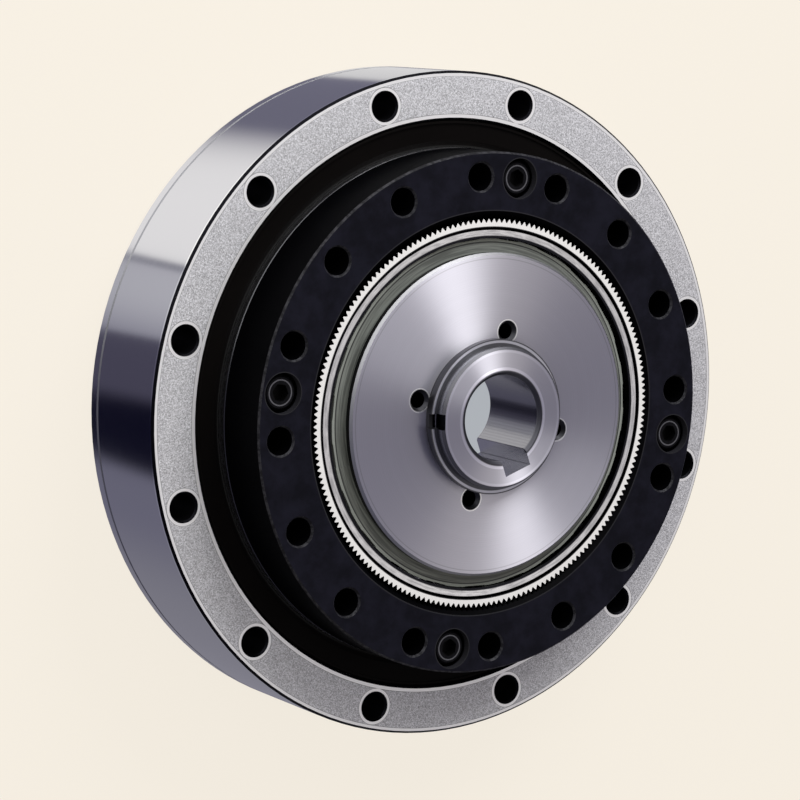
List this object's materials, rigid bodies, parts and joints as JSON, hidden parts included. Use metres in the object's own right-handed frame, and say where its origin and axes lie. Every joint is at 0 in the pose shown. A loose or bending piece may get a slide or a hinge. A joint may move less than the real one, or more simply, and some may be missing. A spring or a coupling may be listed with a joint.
{
  "type": "strain wave gear",
  "caption": "Strain wave gear unit with a bolted bearing ring, a toothed flexible cup, an internal-tooth output ring and an oval cam with a keyed input hub.",
  "frame": {"origin": "on the unit's axis, on the rear face of the flexspline's flange", "axes": "+Z along the axis towards the input hub; +X through the centre of one housing bolt hole"},
  "size_m": [0.11, 0.11, 0.0372],
  "materials": {
    "bearing_steel_ring": "polished side, fine blasted face",
    "flexspline_steel": "ground alloy steel",
    "circular_spline_black": "black oxide, satin",
    "screw_black": "black oxide, satin",
    "inner_ring_steel": "ground bearing steel",
    "seal_rubber": "brown-black rubber",
    "o_ring_rubber": "black rubber",
    "race_steel": "ground bearing steel",
    "ball_steel": "polished balls and rollers",
    "retainer_plastic": "greenish grey plastic",
    "spacer_plastic": "natural plastic",
    "plug_steel": "turned steel with circular tool marks",
    "hub_steel": "turned steel",
    "coupling_steel": "plain steel",
    "washer_black": "dark low-friction washer",
    "spring_steel": "spring steel"
  },
  "bodies": {
    "housing": {"outer_bearing_ring": "bearing_steel_ring", "flexspline": "flexspline_steel", "flange_screws": "screw_black", "flange_o_ring": "o_ring_rubber", "front_seal": "seal_rubber", "roller_loading_plug": "bearing_steel_ring", "loading_plug_pin": "ball_steel", "wave_bearing_outer_race": "race_steel"},
    "output": {"circular_spline": "circular_spline_black", "inner_bearing_ring": "inner_ring_steel", "circular_spline_screws": "screw_black", "spline_o_ring": "o_ring_rubber"},
    "roller_set": {"front_thrust_rollers": "ball_steel", "rear_thrust_rollers": "ball_steel", "roller_spacers": "spacer_plastic"},
    "wave_generator": {"wave_generator_plug": "plug_steel", "wave_bearing_inner_race": "race_steel", "input_hub": "hub_steel", "coupling_insert": "coupling_steel", "rub_washer": "washer_black", "hub_snap_ring": "spring_steel"},
    "ball_set": {"wave_bearing_balls": "ball_steel", "ball_retainer": "retainer_plastic"}
  },
  "joints": [
    {"name": "input_spin", "type": "hinge", "parent": "housing", "child": "wave_generator", "pos_m": [0, 0, 0.028], "axis": [0, 0, 1], "continuous": true, "deforming": ["flexspline", "wave_bearing_outer_race"]},
    {"name": "output_spin", "type": "hinge", "parent": "housing", "child": "output", "pos_m": [0, 0, 0.027], "axis": [0, 0, 1], "continuous": true},
    {"name": "roller_orbit", "type": "hinge", "parent": "housing", "child": "roller_set", "pos_m": [0, 0, 0.0105], "axis": [0, 0, 1], "continuous": true},
    {"name": "ball_orbit", "type": "hinge", "parent": "housing", "child": "ball_set", "pos_m": [0, 0, 0.0276], "axis": [0, 0, 1], "continuous": true}
  ],
  "couplings": [
    {"joint": "output_spin", "follows": "input_spin", "ratio": 0.009901},
    {"joint": "roller_orbit", "follows": "input_spin", "ratio": 0.0047446},
    {"joint": "ball_orbit", "follows": "input_spin", "ratio": 0.45019}
  ]
}
